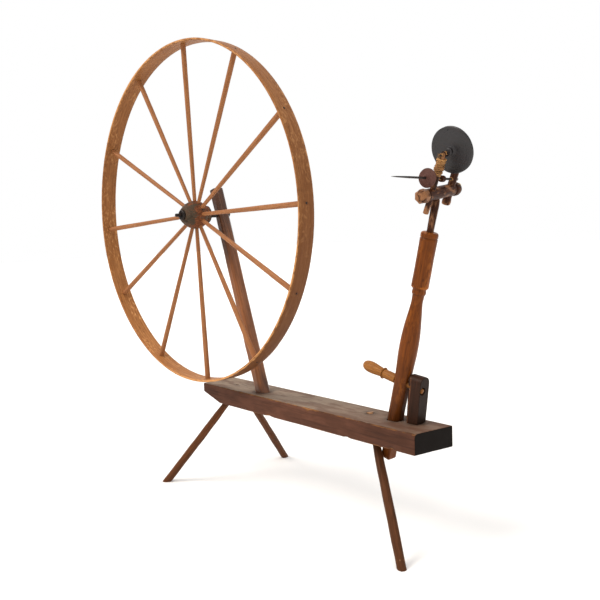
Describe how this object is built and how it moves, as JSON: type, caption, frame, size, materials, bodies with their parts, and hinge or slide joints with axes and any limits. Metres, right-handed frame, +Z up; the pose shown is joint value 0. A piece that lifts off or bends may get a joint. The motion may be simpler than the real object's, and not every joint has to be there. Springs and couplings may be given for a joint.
{
  "type": "spinning wheel",
  "caption": "Hand-turned great wheel: a hoop-rimmed spoked wheel on a raked post, a plank bench on splayed legs, and a leaning turned post carrying an accelerating head with a spindle.",
  "frame": {"origin": "on the floor, under the middle of the whole object's bounding box", "axes": "+X along the bench from the big wheel towards the spindle, +Y away from the spinner, +Z up"},
  "size_m": [1.615, 0.5568, 1.5316],
  "materials": {
    "oak": "aged oak, oiled and rubbed, visible grain",
    "dark_wood": "dark worn finish over brown wood",
    "post_wood": "red-brown turned hardwood, satin from handling",
    "hub_paint": "worn black paint over red-brown wood",
    "bench_paint": "worn dark red-brown paint, grey-brown on top",
    "leg_wood": "brown stained wood, matte",
    "handle_wood": "light orange-brown turned wood",
    "head_wood": "dark brown shaved wood",
    "disc_paint": "matte black paint on wood",
    "stop_paint": "worn maroon paint on wood",
    "husk": "dry golden husk wrapping",
    "iron": "dark hand-forged iron, lightly rusted"
  },
  "bodies": {
    "stand": {"bench": "bench_paint", "leg_front_left": "leg_wood", "leg_back_left": "leg_wood", "leg_right": "leg_wood", "wheel_post": "dark_wood", "tension_block": "dark_wood", "wheel_axle": "iron", "axle_linchpin": "iron", "axle_washer": "iron", "axle_key": "iron", "post_pivot_pin": "head_wood"},
    "wheel": {"rim": "oak", "hub": "hub_paint", "hub_front_collar": "iron", "hub_rear_ring": "iron", "spoke_01": "oak", "spoke_02": "oak", "spoke_03": "oak", "spoke_04": "oak", "spoke_05": "oak", "spoke_06": "oak", "spoke_07": "oak", "spoke_08": "oak", "spoke_09": "oak", "spoke_10": "oak", "spoke_11": "oak", "spoke_12": "oak", "rim_nail_01": "iron", "rim_nail_02": "iron", "rim_nail_03": "iron", "rim_nail_04": "iron", "rim_nail_05": "iron", "rim_nail_06": "iron", "rim_nail_07": "iron", "rim_nail_08": "iron", "rim_nail_09": "iron", "rim_nail_10": "iron", "rim_nail_11": "iron", "rim_nail_12": "iron"},
    "post": {"spindle_post": "post_wood"},
    "screw": {"tension_screw": "handle_wood", "handle_ring": "handle_wood"},
    "head": {"head_stem": "head_wood", "head_stock": "head_wood", "stock_cap": "iron", "front_upright": "head_wood", "back_upright": "head_wood", "husk_wrap": "husk", "spindle_bush_front": "husk", "spindle_bush_back": "husk", "accelerator_bush_front": "husk", "accelerator_bush_back": "husk"},
    "spindle": {"spindle": "iron", "stop_disc": "stop_paint", "spindle_pulley": "head_wood"},
    "accelerator": {"accelerator_axle": "iron", "accelerator_disc": "disc_paint", "accelerator_pulley": "disc_paint"}
  },
  "joints": [
    {"name": "wheel_spin", "type": "hinge", "parent": "stand", "child": "wheel", "pos_m": [-0.237, -0.151, 0.96], "axis": [0, 1, 0], "continuous": true},
    {"name": "post_tilt", "type": "hinge", "parent": "stand", "child": "post", "pos_m": [0.53546, -0.036, 0.33], "axis": [0, 1, 0], "range_deg": [-1, 1]},
    {"name": "screw_turn", "type": "hinge", "parent": "post", "child": "screw", "pos_m": [0.57091, -0.036, 0.47112], "axis": [0.9699, 0, -0.2436], "range_deg": [-150, 150]},
    {"name": "head_swivel", "type": "hinge", "parent": "post", "child": "head", "pos_m": [0.67455, -0.036, 0.88373], "axis": [0.2436, 0, 0.9699], "range_deg": [-30, 30]},
    {"name": "spindle_spin", "type": "hinge", "parent": "head", "child": "spindle", "pos_m": [0.71988, -0.06843, 1.01857], "axis": [-0.1314, 0.9913, 0.0003], "continuous": true},
    {"name": "accelerator_spin", "type": "hinge", "parent": "head", "child": "accelerator", "pos_m": [0.74648, -0.07393, 1.07541], "axis": [0.0157, 0.9501, 0.3115], "continuous": true}
  ],
  "couplings": [
    {"joint": "screw_turn", "follows": "post_tilt", "ratio": 144}
  ]
}
